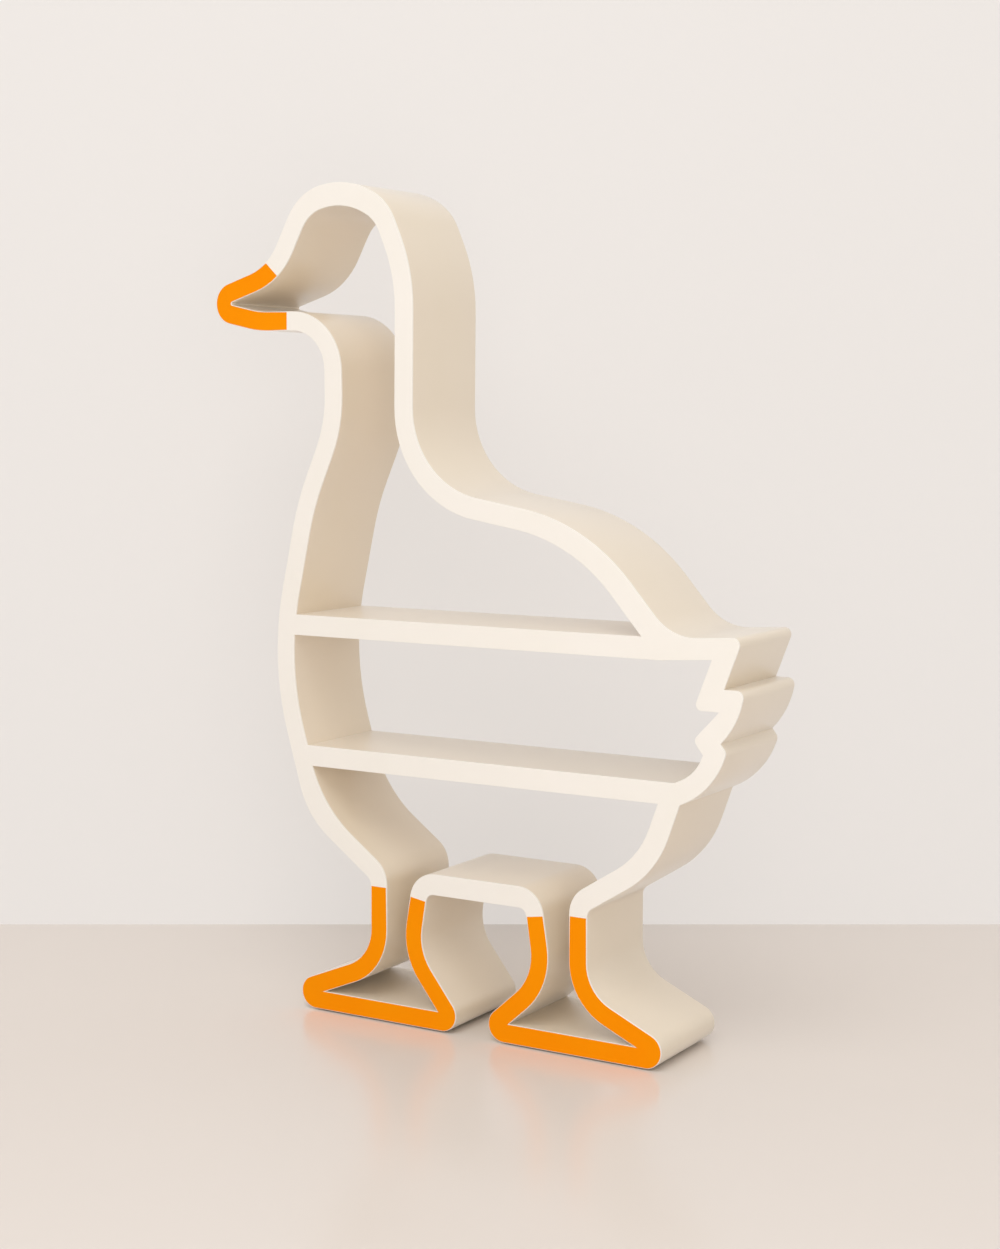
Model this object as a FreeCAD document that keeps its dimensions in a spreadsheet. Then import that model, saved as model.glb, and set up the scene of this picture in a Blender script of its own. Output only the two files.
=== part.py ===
import FreeCAD, Part
import math
import os
from collections import namedtuple

# A free-standing open shelf shaped like a goose. One wall follows the bird's outline right round and
# is built up from curved boards, tongued end to end. Two shelves are housed in it, a thin face sheet
# covers the front edges, and coloured inlays mark the beak and the feet.
# X runs from beak to tail, Y from the front face to the back and Z up from the floor, in millimetres.

SIZES = (
    ("depth", 200, "front face to back"),
    ("wall", 36, "thickness of the body's walls"),
    ("back_wall", 40, "thickness of the sloping back above the tail"),
    ("crown_wall", 39, "thickness over the top of the head"),
    ("tail_wall", 34, "thickness of the tail's top"),
    ("slim_wall", 33, "thickness of the beak and the feet"),
    ("shelf_board", 36, "thickness of a shelf"),
    ("lower_shelf_drop", 230, "lower shelf's top below the corner where the tail leaves the back"),
    ("housing", 8, "how far a shelf's end goes into the wall"),
    ("housing_gap", 0.5, "room past a shelf's end in its housing"),
    ("face_sheet", 3, "thickness of the front face"),
    ("inlay_sheet", 1.5, "thickness of an inlay"),
    ("inlay_rim", 1.5, "face left showing beside an inlay"),
    ("inlay_gap", 0.1, "clearance round an inlay"),
    # The head, measured from its middle.
    ("head_x", -240, "middle of the head"),
    ("head_z", 1320, "middle of the head above the soles"),
    ("nose_x", -240, "centre of the beak's round tip"),
    ("nose_z", -72, "centre of the beak's round tip"),
    ("nose_r", 36, "radius of the beak's tip"),
    ("brow_x", -161, "corner where the beak meets the forehead"),
    ("brow_z", -10, "corner where the beak meets the forehead"),
    ("brow_r", 100, "bend at the brow"),
    ("forehead_x", -94, "corner at the forehead"),
    ("forehead_z", 113, "corner at the forehead"),
    ("forehead_r", 100, "bend at the forehead"),
    ("crown_x", 9, "corner at the top of the head"),
    ("crown_z", 135, "corner at the top of the head"),
    ("crown_r", 160, "bend at the top of the head"),
    ("poll_x", 92, "corner at the back of the head"),
    ("poll_z", 91, "corner at the back of the head"),
    ("poll_r", 100, "bend at the back of the head"),
    ("nape_x", 143, "corner at the top of the neck"),
    ("nape_z", -27, "corner at the top of the neck"),
    ("nape_r", 300, "bend at the top of the neck"),
    ("throat_x", -42, "corner under the head"),
    ("throat_z", -122, "corner under the head"),
    ("throat_r", 68, "bend under the head"),
    ("throat_inner_r", 105, "bend under the head, on the inside"),
    ("chin_x", -185, "corner under the beak"),
    ("chin_z", -121, "corner under the beak"),
    ("chin_r", 200, "bend under the beak"),
    # The neck and the body, measured from the middle and from the soles.
    ("neck_base_x", -101, "corner where the neck meets the back"),
    ("neck_base_z", 938, "corner where the neck meets the back"),
    ("neck_base_r", 150, "bend where the neck meets the back"),
    ("back_x", 237, "corner of the back"),
    ("back_z", 880, "corner of the back"),
    ("back_r", 340, "bend of the back"),
    ("rump_x", 366, "corner below the tail"),
    ("rump_z", 324, "corner below the tail"),
    ("rump_r", 180, "bend below the tail"),
    ("belly_x", -326, "corner of the belly"),
    ("belly_z", 346, "corner of the belly"),
    ("belly_r", 160, "bend of the belly"),
    ("belly_inner_r", 230, "bend of the belly, on the inside"),
    ("breast_x", -405, "corner of the breast"),
    ("breast_z", 617, "corner of the breast"),
    ("breast_r", 515, "bend of the breast"),
    ("shoulder_x", -341, "corner where the breast becomes the neck"),
    ("shoulder_z", 903, "corner where the breast becomes the neck"),
    ("shoulder_r", 500, "bend where the breast becomes the neck"),
    ("collar_x", -280, "corner at the foot of the neck's front"),
    ("collar_z", 1040, "corner at the foot of the neck's front"),
    ("collar_r", 220, "bend at the foot of the neck's front"),
    # The tail, measured from the corner where it leaves the back.
    ("tail_x", 390, "corner where the tail leaves the back"),
    ("tail_z", 703, "corner where the tail leaves the back"),
    ("tail_r", 90, "bend where the tail leaves the back"),
    ("tail_inner_r", 10, "bends on the inside of the tail"),
    ("feather_r", 12, "radius of a feather's tip"),
    ("feather_sweep_r", 140, "bend of a feather's lower edge"),
    ("top_feather_x", 106, "tip of the top feather"),
    ("top_feather_z", -5, "tip of the top feather"),
    ("top_notch_x", 92, "notch under the top feather"),
    ("top_notch_z", -75, "notch under the top feather"),
    ("mid_feather_x", 113, "tip of the middle feather"),
    ("mid_feather_z", -87, "tip of the middle feather"),
    ("mid_sweep", 12, "corner of the middle feather out from its chord"),
    ("mid_notch_x", 87, "notch under the middle feather"),
    ("mid_notch_z", -161, "notch under the middle feather"),
    ("low_feather_x", 84, "tip of the low feather"),
    ("low_feather_z", -177, "tip of the low feather"),
    ("low_sweep", 26, "corner of the low feather out from its chord"),
    ("low_notch_x", 17, "notch under the low feather"),
    ("low_notch_z", -265, "notch under the low feather"),
    # The legs and the feet, measured from the middle of each leg and from the soles.
    ("front_leg_x", -136, "middle of the front leg"),
    ("rear_leg_x", 186, "middle of the rear leg"),
    ("leg_half", 54, "outer side of a leg from its middle"),
    ("waist", 46, "corner of a leg's inner side from its middle"),
    ("leg_top", 63, "inner side of a leg at its top from its middle"),
    ("front_thigh_z", 247, "corner where the belly meets the front leg"),
    ("rear_thigh_z", 245, "corner where the body meets the rear leg"),
    ("thigh_r", 18, "bend at the top of a leg"),
    ("ankle_z", 110, "corner above the toes"),
    ("ankle_r", 75, "bend above the toes"),
    ("foot_r", 29, "radius of a toe and of a heel"),
    ("front_toe", 205, "toe of the front foot from its leg"),
    ("rear_toe", 192, "toe of the rear foot from its leg"),
    ("front_heel", 121, "heel of the front foot from its leg"),
    ("rear_heel", 135, "heel of the rear foot from its leg"),
    ("front_shin_z", 135, "corner above the heel of the front foot"),
    ("rear_shin_z", 122, "corner above the heel of the rear foot"),
    ("shin_r", 90, "bend above a heel"),
    ("bridge_z", 236, "underside of the bridge between the legs"),
    ("bridge_r", 15, "bend under the bridge's ends"),
    # How the boards are joined.
    ("joint_setback", 2, "joint past the end of a bend"),
    ("beak_setback", 12, "beak's lower joint past the throat's bend"),
    ("tongue_thick", 9, "loose tongue, through the wall"),
    ("tongue_width", 40, "loose tongue, across the joint"),
    ("tongue_length", 150, "loose tongue, front to back"),
    ("tongue_gap", 0.1, "clearance on a tongue's two faces"),
    ("tongue_end_gap", 1, "room past a tongue's edges"),
    # The glides tapped into the soles.
    ("glide_diameter", 24, "disc of a glide"),
    ("glide_proud", 3, "disc of a glide, below the sole"),
    ("glide_chamfer", 1, "lower edge of a glide"),
    ("stem_diameter", 8, "stem of a glide"),
    ("stem_length", 16, "stem of a glide, up into the sole"),
    ("stem_gap", 0.1, "clearance round a stem"),
    ("stem_end_gap", 1, "room past a stem's end"),
    ("glide_inset", 14, "glide in from the centre of the toe or heel"),
    ("glide_pitch", 130, "front glide to back glide"),
)

SHORTEST_LINE = 1e-6
LARGEST_SHARE = 0.98

Corner = namedtuple("Corner", "name x z radius wrap inner wall")
Bend = namedtuple("Bend", "start mid end centre radius")
Joint = namedtuple("Joint", "corner on_run along")


def make_sheet(doc):
    """The driving sizes, one named cell each."""
    sheet = doc.addObject("Spreadsheet::Sheet", "sizes")
    for row, (name, value, note) in enumerate(SIZES, start=1):
        sheet.set("A%d" % row, name)
        sheet.set("B%d" % row, str(value))
        sheet.set("C%d" % row, note)
        sheet.setAlias("B%d" % row, name)
    doc.recompute()
    return sheet


doc = FreeCAD.newDocument("goose_shelf")
sheet = make_sheet(doc)


def size(name):
    return float(getattr(sheet, name))


# The outline


def bend_corner(name, x, z, wall="wall", inner=None):
    """A corner that the outline rounds off with its own radius."""
    return Corner(name, x, z, size(name + "_r"), 0, inner, size(wall))


def head_corner(name, wall="wall", inner=None):
    x = size("head_x") + size(name + "_x")
    z = size("head_z") + size(name + "_z")
    return bend_corner(name, x, z, wall, inner)


def body_corner(name, wall="wall", inner=None):
    return bend_corner(name, size(name + "_x"), size(name + "_z"), wall, inner)


def nose_corner():
    """The beak's tip, a circle that the outline wraps."""
    radius = size("nose_r")
    x = size("head_x") + size("nose_x")
    z = size("head_z") + size("nose_z")
    return Corner("nose", x, z, radius, radius, None, size("slim_wall"))


def tail_point(name):
    return size("tail_x") + size(name + "_x"), size("tail_z") + size(name + "_z")


def feather_corners(place, sweep=None):
    """A feather's round tip, the sweep of its lower edge and the sharp notch under it."""
    radius = size("feather_r")
    tip_x, tip_z = tail_point(place + "_feather")
    notch_x, notch_z = tail_point(place + "_notch")
    corners = [Corner(place + "_feather", tip_x, tip_z, radius, radius, None, size("wall"))]
    if sweep:
        run_x = notch_x - tip_x - radius
        run_z = notch_z - tip_z
        chord = math.hypot(run_x, run_z)
        x = tip_x + radius + run_x / 2 - run_z / chord * size(sweep)
        z = tip_z + run_z / 2 + run_x / chord * size(sweep)
        corners.append(Corner(sweep, x, z, size("feather_sweep_r"), 0, None, size("wall")))
    inner = size("tail_inner_r")
    corners.append(Corner(place + "_notch", notch_x, notch_z, 0, 0, inner, size("wall")))
    return corners


def leg_corners(place, toe_side, last_wall):
    """A leg and its foot, from the toe side of the thigh round the foot to the bridge."""
    leg_x = size(place + "_leg_x")
    foot_r = size("foot_r")
    slim = size("slim_wall")

    def corner(name, out, z, radius, wrap=0):
        return Corner(place + "_" + name, leg_x + toe_side * out, z, radius, wrap, None, slim)

    return [
        corner("thigh", size("leg_half"), size(place + "_thigh_z"), size("thigh_r")),
        corner("ankle", size("leg_half"), size("ankle_z"), size("ankle_r")),
        corner("toe", size(place + "_toe") - foot_r, foot_r, foot_r, foot_r),
        corner("heel", foot_r - size(place + "_heel"), foot_r, foot_r, foot_r),
        corner("shin", -size("waist"), size(place + "_shin_z"), size("shin_r")),
        corner("bridge", -size("leg_top"), size("bridge_z"), size("bridge_r"))._replace(wall=last_wall),
    ]


def outline_corners():
    """Every corner of the outline, clockwise from the beak as seen from the front."""
    wall = size("wall")
    slim = size("slim_wall")
    front_leg = leg_corners("front", -1, slim)
    front_leg[0] = front_leg[0]._replace(wall=wall)
    corners = [nose_corner()]
    corners += [head_corner("brow"), head_corner("forehead", "crown_wall"), head_corner("crown", "crown_wall")]
    corners += [head_corner("poll"), head_corner("nape")]
    corners += [body_corner("neck_base"), body_corner("back", "back_wall")]
    corners += [body_corner("tail", "tail_wall", size("tail_inner_r"))]
    corners += feather_corners("top")
    corners += feather_corners("mid", "mid_sweep")
    corners += feather_corners("low", "low_sweep")
    corners += [body_corner("rump")]
    corners += leg_corners("rear", 1, wall)
    corners += reversed(front_leg)
    corners += [body_corner("belly", inner=size("belly_inner_r"))]
    corners += [body_corner(name) for name in ("breast", "shoulder", "collar")]
    corners += [head_corner("throat", "slim_wall", size("throat_inner_r"))]
    corners += [head_corner("chin", "slim_wall")]
    return corners


def centred(corners):
    """The same corners with the beak's tip and the middle feather's tip as far left as right."""
    beak = min(corner.x - corner.wrap for corner in corners)
    tail = max(corner.x + corner.wrap for corner in corners)
    middle = (beak + tail) / 2
    return [corner._replace(x=corner.x - middle) for corner in corners]


CORNERS = centred(outline_corners())
PLACES = {corner.name: place for place, corner in enumerate(CORNERS)}


def right_of(way):
    return FreeCAD.Vector(way.y, -way.x, 0)


def outer_runs():
    """The straight line from each corner to the next, as a point on it and its direction."""
    runs = []
    for place, corner in enumerate(CORNERS):
        following = CORNERS[(place + 1) % len(CORNERS)]
        step_x = following.x - corner.x
        step_z = following.z - corner.z
        lean = math.asin((corner.wrap - following.wrap) / math.hypot(step_x, step_z))
        heading = math.atan2(step_z, step_x) - lean
        way = FreeCAD.Vector(math.cos(heading), math.sin(heading), 0)
        point = FreeCAD.Vector(corner.x, corner.z, 0) - right_of(way) * corner.wrap
        runs.append((point, way))
    return runs


RUNS = outer_runs()


def crossing(first, second):
    """Where two lines, each a point and a direction, meet."""
    point, way = first
    other, across = second
    gap = other - point
    return point + way * ((gap.x * across.y - gap.y * across.x) / (way.x * across.y - way.y * across.x))


def turn_at(before, after):
    """How far the outline turns from one direction to the next, positive to the left."""
    return math.atan2(before.x * after.y - before.y * after.x, before.dot(after))


def kept_runs(lines):
    """The runs that are left once those that shrank to nothing inside a corner are dropped."""
    kept = list(range(len(lines)))
    while True:
        points = [crossing(lines[kept[i - 1]], lines[kept[i]]) for i in range(len(kept))]
        lengths = [
            (points[(i + 1) % len(kept)] - points[i]).dot(lines[run][1]) for i, run in enumerate(kept)
        ]
        shortest = min(range(len(kept)), key=lengths.__getitem__)
        if lengths[shortest] > 0:
            return kept, points, lengths
        del kept[shortest]


def bend_radius(place, merged, turn, inside, inset):
    """A bend's radius on the outer or inner side, moved into the wall by the inset."""
    corner = CORNERS[place]
    hollow = 1 if turn > 0 else -1
    if not inside:
        return max(corner.radius + hollow * inset, 0)
    if merged:
        return 0
    wall = (corner.wall + CORNERS[place - 1].wall) / 2
    radius = corner.radius + hollow * wall if corner.inner is None else corner.inner
    return max(radius - hollow * inset, 0)


def contour(inside, inset=0):
    """The bends of one side of the wall, by the place of their corner."""
    lines = []
    for corner, (point, way) in zip(CORNERS, RUNS):
        shift = corner.wall - inset if inside else inset
        lines.append((point + right_of(way) * shift, way))
    kept, points, lengths = kept_runs(lines)
    turns = [turn_at(lines[kept[i - 1]][1], lines[run][1]) for i, run in enumerate(kept)]
    radii = []
    for i, run in enumerate(kept):
        merged = (kept[i - 1] + 1) % len(CORNERS) != run
        radii.append(bend_radius(run, merged, turns[i], inside, inset))
    reach = [radius * math.tan(abs(turn) / 2) for radius, turn in zip(radii, turns)]
    fits = []
    for i, length in enumerate(lengths):
        both = reach[i] + reach[(i + 1) % len(kept)]
        fits.append(min(1, LARGEST_SHARE * length / both) if both > 0 else 1)
    bends = {}
    for i, run in enumerate(kept):
        share = min(fits[i], fits[i - 1])
        before = lines[kept[i - 1]][1]
        after = lines[run][1]
        start = points[i] - before * (reach[i] * share)
        end = points[i] + after * (reach[i] * share)
        side = -1 if turns[i] > 0 else 1
        centre = start + right_of(before) * (side * radii[i] * share)
        out = points[i] - centre
        mid = points[i] if out.Length < SHORTEST_LINE else centre + out.normalize() * (radii[i] * share)
        bends[run] = Bend(start, mid, end, centre, radii[i] * share)
    return bends


OUTER = contour(False)
INNER = contour(True)


def along_run(place, point):
    """How far along a corner's outgoing run a point is, from the corner itself."""
    corner = crossing(RUNS[place - 1], RUNS[place])
    return (point - corner).dot(RUNS[place][1])


def joint_mid(name):
    """A joint halfway round a bend."""
    return Joint(PLACES[name], False, 0)


def joint_after(name, setback):
    """A joint just past the end of a bend."""
    place = PLACES[name]
    ends = [along_run(place, bends[place].end) for bends in (OUTER, INNER)]
    return Joint(place, True, max(ends) + size(setback))


def joint_before(name, setback):
    """A joint just before a bend starts."""
    place = PLACES[name]
    starts = [along_run(place - 1, bends[place].start) for bends in (OUTER, INNER)]
    return Joint(place - 1, True, min(starts) - size(setback))


JOINTS = {
    "beak_crown": joint_mid("brow"),
    "crown_nape": joint_mid("poll"),
    "nape_back": joint_mid("neck_base"),
    "back_tail": joint_after("back", "joint_setback"),
    "tail_rump": joint_mid("rump"),
    "rump_rear_foot": joint_after("rear_thigh", "joint_setback"),
    "rear_foot_bridge": joint_before("rear_bridge", "joint_setback"),
    "bridge_front_foot": joint_after("front_bridge", "joint_setback"),
    "front_foot_belly": joint_before("front_thigh", "joint_setback"),
    "belly_breast": joint_mid("belly"),
    "breast_throat": joint_mid("shoulder"),
    "throat_beak": joint_after("throat", "beak_setback"),
}

# Each board of the wall, with the joints that it runs between.
BOARDS = {
    "beak": ("throat_beak", "beak_crown"),
    "crown": ("beak_crown", "crown_nape"),
    "nape": ("crown_nape", "nape_back"),
    "back": ("nape_back", "back_tail"),
    "tail": ("back_tail", "tail_rump"),
    "rump": ("tail_rump", "rump_rear_foot"),
    "rear_foot": ("rump_rear_foot", "rear_foot_bridge"),
    "leg_bridge": ("rear_foot_bridge", "bridge_front_foot"),
    "front_foot": ("bridge_front_foot", "front_foot_belly"),
    "belly": ("front_foot_belly", "belly_breast"),
    "breast": ("belly_breast", "breast_throat"),
    "throat": ("breast_throat", "throat_beak"),
}


def joint_point(joint, bends, inside, inset):
    """Where a joint meets one side of the wall."""
    if not joint.on_run:
        return bends[joint.corner].mid
    corner = crossing(RUNS[joint.corner - 1], RUNS[joint.corner])
    way = RUNS[joint.corner][1]
    shift = CORNERS[joint.corner].wall - inset if inside else inset
    return corner + way * joint.along + right_of(way) * shift


def line(start, end):
    return [] if (end - start).Length < SHORTEST_LINE else [Part.LineSegment(start, end)]


def arc(start, end, bend):
    """The arc of a bend from one of its points to a later one."""
    if bend.radius < SHORTEST_LINE:
        return []
    middle = (start + end) * 0.5 - bend.centre
    return [Part.Arc(start, bend.centre + middle.normalize() * bend.radius, end)]


def whole_side(bends):
    """One side of the wall all the way round."""
    edges = []
    places = sorted(bends)
    for i, place in enumerate(places):
        bend = bends[place]
        edges += arc(bend.start, bend.end, bend)
        edges += line(bend.end, bends[places[(i + 1) % len(places)]].start)
    return edges


def side_between(first, last, inside, inset):
    """One side of the wall from a joint to a later one, and its two end points."""
    bends = contour(inside, inset)
    here = joint_point(first, bends, inside, inset)
    finish = joint_point(last, bends, inside, inset)
    begin = here
    edges = []
    if not first.on_run:
        edges += arc(here, bends[first.corner].end, bends[first.corner])
        here = bends[first.corner].end
    place = first.corner
    while place != last.corner % len(CORNERS):
        place = (place + 1) % len(CORNERS)
        bend = bends.get(place)
        if bend is None:
            continue
        edges += line(here, bend.start)
        here = bend.start
        stop = finish if place == last.corner % len(CORNERS) and not last.on_run else bend.end
        edges += arc(here, stop, bend)
        here = stop
    edges += line(here, finish)
    return edges, begin, finish


def board_profile(name, inset=0):
    """A board's closed outline, narrowed by an inset on its outer and inner sides."""
    first, last = (JOINTS[joint] for joint in BOARDS[name])
    outer, outer_begin, outer_end = side_between(first, last, False, inset)
    inner, inner_begin, inner_end = side_between(first, last, True, inset)
    return outer + line(outer_end, inner_end) + inner + line(inner_begin, outer_begin)


def inner_run(name):
    """The inner face of a corner's outgoing run, as a point on it and its direction."""
    point, way = RUNS[PLACES[name]]
    return point + right_of(way) * CORNERS[PLACES[name]].wall, way


def at_height(name, height):
    """Where the inner face of a run, made longer if need be, reaches a height."""
    point, way = inner_run(name)
    return point + way * ((height - point.y) / way.y)


# The runs that each shelf's upper and lower edges meet, at the breast and at the tail.
SHELVES = {
    "upper_shelf": (("breast", "breast"), ("back", "back")),
    "lower_shelf": (("belly", "belly"), ("low_sweep", "low_notch")),
}


def shelf_top(name):
    """A shelf's height: the upper one runs on into the tail's ceiling, and the lower one lies below it."""
    if name == "lower_shelf":
        return size("tail_z") - size("lower_shelf_drop")
    return crossing(inner_run("back"), inner_run("tail")).y + size("shelf_board")


def shelf_profile(name, end_gap=0):
    """A shelf's outline, with its ends inside the wall."""
    top = shelf_top(name)
    bottom = top - size("shelf_board")
    (left_top, left_bottom), (right_top, right_bottom) = SHELVES[name]
    reach = FreeCAD.Vector(size("housing") + end_gap, 0, 0)
    points = [
        at_height(left_top, top) - reach,
        at_height(right_top, top) + reach,
        at_height(right_bottom, bottom) + reach,
        at_height(left_bottom, bottom) - reach,
    ]
    return [Part.LineSegment(points[i - 1], points[i]) for i in range(len(points))]


# The bodies


def origin_plane(body, role):
    return next(plane for plane in body.Origin.OriginFeatures if plane.Role == role)


def add_sketch(body, name, edges):
    """A sketch in the body's own upright plane."""
    sketch = body.newObject("Sketcher::SketchObject", name)
    sketch.AttachmentSupport = (origin_plane(body, "XZ_Plane"), [""])
    sketch.MapMode = "FlatFace"
    sketch.addGeometry(edges, False)
    sketch.detectMissingPointOnPointConstraints(SHORTEST_LINE)
    sketch.makeMissingPointOnPointCoincident()
    sketch.Visibility = False
    return sketch


def add_pad(body, name, edges, length):
    """A pad towards the back."""
    pad = body.newObject("PartDesign::Pad", name)
    pad.Profile = add_sketch(body, name + "_sketch", edges)
    pad.Reversed = True
    pad.setExpression("Length", length)
    body.Tip = pad
    return pad


def add_body(name, front):
    """A body whose upright plane lies at a given Y, lifted on the glides."""
    body = doc.addObject("PartDesign::Body", name)
    body.Label = name
    body.setExpression("Placement.Base.y", front)
    body.setExpression("Placement.Base.z", "sizes.glide_proud")
    return body


FRONT = "-sizes.depth / 2"
BEHIND_FACE = "-sizes.depth / 2 + sizes.face_sheet"
BOARD_DEPTH = "sizes.depth - sizes.face_sheet"


def add_board(name, edges):
    """A piece that runs from the back of the face sheet to the back of the shelf."""
    body = add_body(name, BEHIND_FACE)
    add_pad(body, name + "_pad", edges, BOARD_DEPTH)
    return body


def add_box(name, width, length, thick, centre, way):
    """A box centred on a point, its width along an upright direction and its length along Y."""
    box = doc.addObject("Part::Box", name)
    box.setExpression("Length", width)
    box.setExpression("Width", length)
    box.setExpression("Height", thick)
    doc.recompute([box])
    turn = FreeCAD.Rotation(FreeCAD.Vector(1, 0, 0), way)
    half = FreeCAD.Vector(box.Length.Value, box.Width.Value, box.Height.Value) * 0.5
    box.Placement = FreeCAD.Placement(centre - turn.multVec(half), turn)
    return box


def add_tongues():
    """A loose tongue across each joint, and the slot that holds it, by joint."""
    tongues = []
    slots = {}
    for name, joint in JOINTS.items():
        outer = joint_point(joint, OUTER, False, 0)
        inner = joint_point(joint, INNER, True, 0)
        middle = (outer + inner) * 0.5
        across = (inner - outer).normalize()
        way = FreeCAD.Vector(across.y, 0, -across.x)
        centre = FreeCAD.Vector(middle.x, size("face_sheet") / 2, middle.y + size("glide_proud"))
        tongues.append(add_box(
            name + "_tongue", "sizes.tongue_width", "sizes.tongue_length", "sizes.tongue_thick", centre, way,
        ))
        slots[name] = add_box(
            name + "_slot",
            "sizes.tongue_width + 2 * sizes.tongue_end_gap",
            "sizes.tongue_length + 2 * sizes.tongue_end_gap",
            "sizes.tongue_thick + 2 * sizes.tongue_gap",
            centre, way,
        )
    return tongues, slots


def add_group(name, members):
    group = doc.addObject("Part::Compound", name)
    group.Label = name
    group.Links = members
    return group


def add_cut(name, base, tools):
    cut = doc.addObject("Part::Cut", name)
    cut.Label = name
    cut.Base = base
    cut.Tool = add_group(name + "_tools", tools)
    return cut


def add_front_face():
    """The face sheet: the wall's front edge, the shelves' front edges and the inlays' recesses."""
    body = add_body("front_face", FRONT)
    add_pad(body, "face_wall", whole_side(OUTER) + whole_side(INNER), "sizes.face_sheet")
    for name in SHELVES:
        add_pad(body, "face_" + name, shelf_profile(name), "sizes.face_sheet")
    for name in INLAYS:
        edges = board_profile(name, size("inlay_rim"))
        recess = body.newObject("PartDesign::Pocket", "recess_" + name)
        recess.Profile = add_sketch(body, "recess_sketch_" + name, edges)
        recess.setExpression("Length", "sizes.inlay_sheet")
        body.Tip = recess
    return body


INLAYS = ("beak", "rear_foot", "front_foot")


def add_inlay(board):
    """A coloured sheet let into the face over one board."""
    name = board + "_inlay"
    body = add_body(name, FRONT)
    edges = board_profile(board, size("inlay_rim") + size("inlay_gap"))
    add_pad(body, name + "_pad", edges, "sizes.inlay_sheet")
    return body


def glide_places(foot):
    """The centres of a foot's glides: near the toe and the heel, towards the front and the back."""
    half = size("glide_pitch") / 2
    toe = CORNERS[PLACES[foot.replace("_foot", "_toe")]].x
    heel = CORNERS[PLACES[foot.replace("_foot", "_heel")]].x
    inwards = math.copysign(size("glide_inset"), heel - toe)
    return [FreeCAD.Vector(x, y, 0) for x in (toe + inwards, heel - inwards) for y in (-half, half)]


def glide_profile():
    """Half of a glide's section: a disc with a chamfered lower edge, and a stem."""
    rim = size("glide_diameter") / 2
    stem = size("stem_diameter") / 2
    chamfer = size("glide_chamfer")
    top = size("glide_proud")
    end = top + size("stem_length")
    corners = [(0, 0), (rim - chamfer, 0), (rim, chamfer), (rim, top), (stem, top), (stem, end), (0, end)]
    points = [FreeCAD.Vector(x, z, 0) for x, z in corners]
    return [Part.LineSegment(points[i - 1], points[i]) for i in range(len(points))]


def add_glide(name, place):
    """A glide turned about its upright axis."""
    body = doc.addObject("PartDesign::Body", name)
    turned = body.newObject("PartDesign::Revolution", name + "_turned")
    turned.Profile = add_sketch(body, name + "_section", glide_profile())
    turned.ReferenceAxis = (origin_plane(body, "Z_Axis"), [""])
    turned.Angle = 360
    body.Tip = turned
    body.Placement.Base = place
    return body


def add_stem_hole(name, place):
    """The hole that a glide's stem is tapped into."""
    hole = doc.addObject("Part::Cylinder", name)
    hole.setExpression("Radius", "sizes.stem_diameter / 2 + sizes.stem_gap")
    hole.setExpression("Height", "sizes.stem_length + sizes.stem_end_gap")
    hole.Placement.Base = place + FreeCAD.Vector(0, 0, size("glide_proud"))
    return hole


def add_glides():
    """The glides, and the holes that they need in the soles, by foot."""
    glides = []
    holes = {"front_foot": [], "rear_foot": []}
    for foot in holes:
        for i, place in enumerate(glide_places(foot)):
            glides.append(add_glide("%s_glide_%d" % (foot, i), place))
            holes[foot].append(add_stem_hole("%s_stem_hole_%d" % (foot, i), place))
    return glides, holes


def add_wall(slots, holes):
    """The boards of the wall, slotted for their tongues and housed for the shelves."""
    housings = {
        name: add_board(name + "_housing", shelf_profile(name, size("housing_gap"))) for name in SHELVES
    }
    housed = {
        "breast": ("upper_shelf", "lower_shelf"),
        "tail": ("upper_shelf", "lower_shelf"),
        "back": ("upper_shelf",),
    }
    boards = []
    for name, joints in BOARDS.items():
        blank = add_board(name + "_blank", board_profile(name))
        tools = [slots[joint] for joint in joints]
        tools += [housings[shelf] for shelf in housed.get(name, ())]
        tools += holes.get(name, [])
        boards.append(add_cut(name, blank, tools))
    return boards


def build():
    """Every sub-part of the shelf."""
    tongues, slots = add_tongues()
    glides, holes = add_glides()
    parts = add_wall(slots, holes)
    parts += [add_board(name, shelf_profile(name)) for name in SHELVES]
    parts += [add_front_face()]
    parts += [add_inlay(board) for board in INLAYS]
    parts += [add_group("loose_tongues", tongues), add_group("glides", glides)]
    return parts


def check(parts):
    """Stops the build if an object failed or a sub-part has no sound shape."""
    for item in doc.Objects:
        if "Invalid" in item.State or "Error" in item.State:
            raise RuntimeError("%s failed: %s" % (item.Label, item.State))
    for part in parts:
        if part.Shape.isNull() or not part.Shape.isValid() or not part.Shape.Solids:
            raise RuntimeError("%s has no sound shape" % part.Label)


parts = build()
doc.recompute()
check(parts)
os.makedirs("parts", exist_ok=True)
for part in parts:
    part.Shape.exportStep("parts/%s.step" % part.Label)
    print("%-18s %d solids, %.0f mm3" % (part.Label, len(part.Shape.Solids), part.Shape.Volume))
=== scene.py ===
"""The looks of a goose-shaped open shelf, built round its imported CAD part."""

import math

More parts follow.
